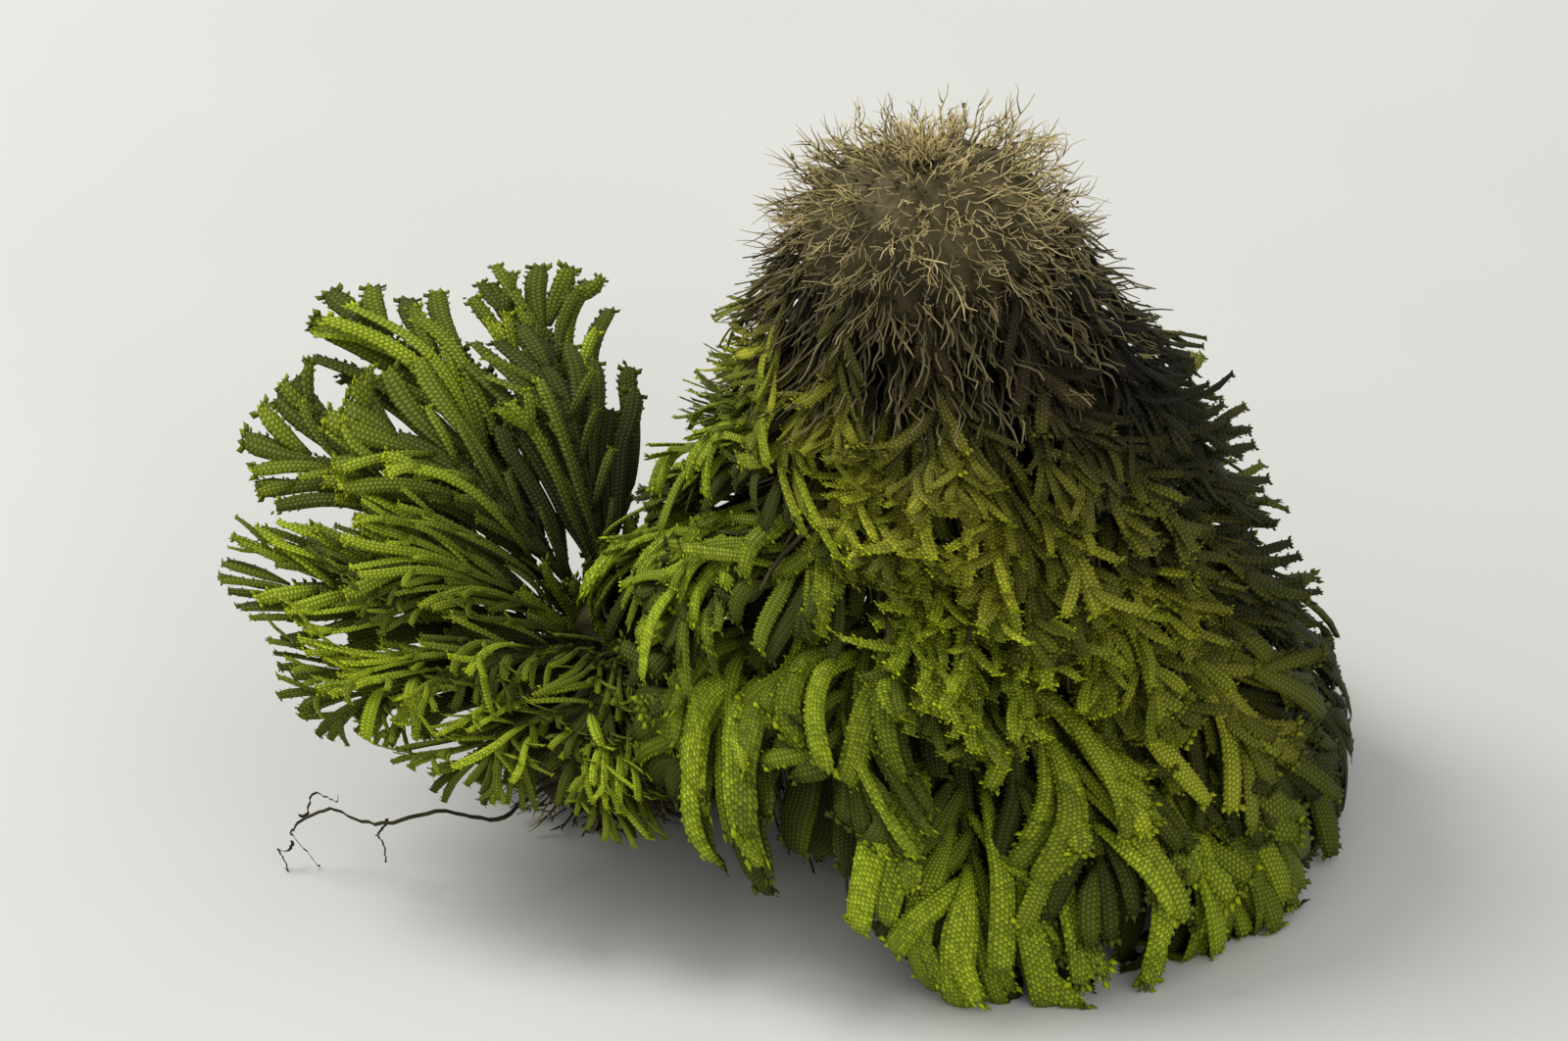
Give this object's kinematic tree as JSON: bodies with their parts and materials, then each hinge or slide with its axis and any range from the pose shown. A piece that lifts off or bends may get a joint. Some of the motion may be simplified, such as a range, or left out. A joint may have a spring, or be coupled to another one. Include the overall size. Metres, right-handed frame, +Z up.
{
  "type": "preserved club moss",
  "caption": "Preserved resurrection club moss lying on its side crown: a mop of flat scaly fronds hanging from a fibrous neck, with a face-up half rosette at its left.",
  "frame": {"origin": "centre of the bottom of the bounding box, on the surface that the plant lies on", "axes": "+X along the longest extent, from the side crown towards the main crown; +Y away from the viewer of the picture; +Z up"},
  "size_m": [0.1134, 0.0772, 0.0763],
  "materials": {
    "rootstock": "matt fibrous brown roots",
    "brown_frond": "matt brown-olive scale leaves",
    "olive_frond": "matt olive scale leaves",
    "green_frond": "matt green scale leaves with lime tips"
  },
  "bodies": {
    "root": {"main_1_frond_1": "brown_frond", "main_1_frond_10": "brown_frond", "main_1_frond_2": "brown_frond", "main_1_frond_3": "brown_frond", "main_1_frond_4": "brown_frond", "main_1_frond_5": "brown_frond", "main_1_frond_6": "brown_frond", "main_1_frond_7": "brown_frond", "main_1_frond_8": "brown_frond", "main_1_frond_9": "brown_frond", "main_2_frond_1": "olive_frond", "main_2_frond_10": "olive_frond", "main_2_frond_2": "olive_frond", "main_2_frond_3": "olive_frond", "main_2_frond_4": "olive_frond", "main_2_frond_5": "olive_frond", "main_2_frond_6": "olive_frond", "main_2_frond_7": "olive_frond", "main_2_frond_8": "olive_frond", "main_2_frond_9": "olive_frond", "main_3_frond_1": "olive_frond", "main_3_frond_2": "olive_frond", "main_3_frond_3": "olive_frond", "main_3_frond_4": "olive_frond", "main_3_frond_5": "olive_frond", "main_3_frond_6": "olive_frond", "main_3_frond_7": "olive_frond", "main_3_frond_8": "olive_frond", "main_3_frond_9": "olive_frond", "main_4_frond_1": "green_frond", "main_4_frond_2": "green_frond", "main_4_frond_3": "green_frond", "main_4_frond_4": "green_frond", "main_4_frond_5": "green_frond", "main_4_frond_6": "green_frond", "main_4_frond_7": "green_frond", "main_4_frond_8": "green_frond", "main_4_frond_9": "green_frond", "main_5_frond_1": "green_frond", "main_5_frond_2": "green_frond", "main_5_frond_3": "green_frond", "main_5_frond_4": "green_frond", "main_5_frond_5": "green_frond", "main_5_frond_6": "green_frond", "main_5_frond_7": "green_frond", "main_5_frond_8": "green_frond", "rootstock": "rootstock", "side_1_frond_1": "green_frond", "side_1_frond_2": "green_frond", "side_1_frond_3": "green_frond", "side_1_frond_4": "green_frond", "side_1_frond_5": "green_frond", "side_1_frond_6": "green_frond", "side_1_frond_7": "green_frond", "side_2_frond_1": "green_frond", "side_2_frond_2": "green_frond", "side_2_frond_3": "green_frond", "side_2_frond_4": "green_frond", "side_2_frond_5": "green_frond"}
  },
  "joints": []
}
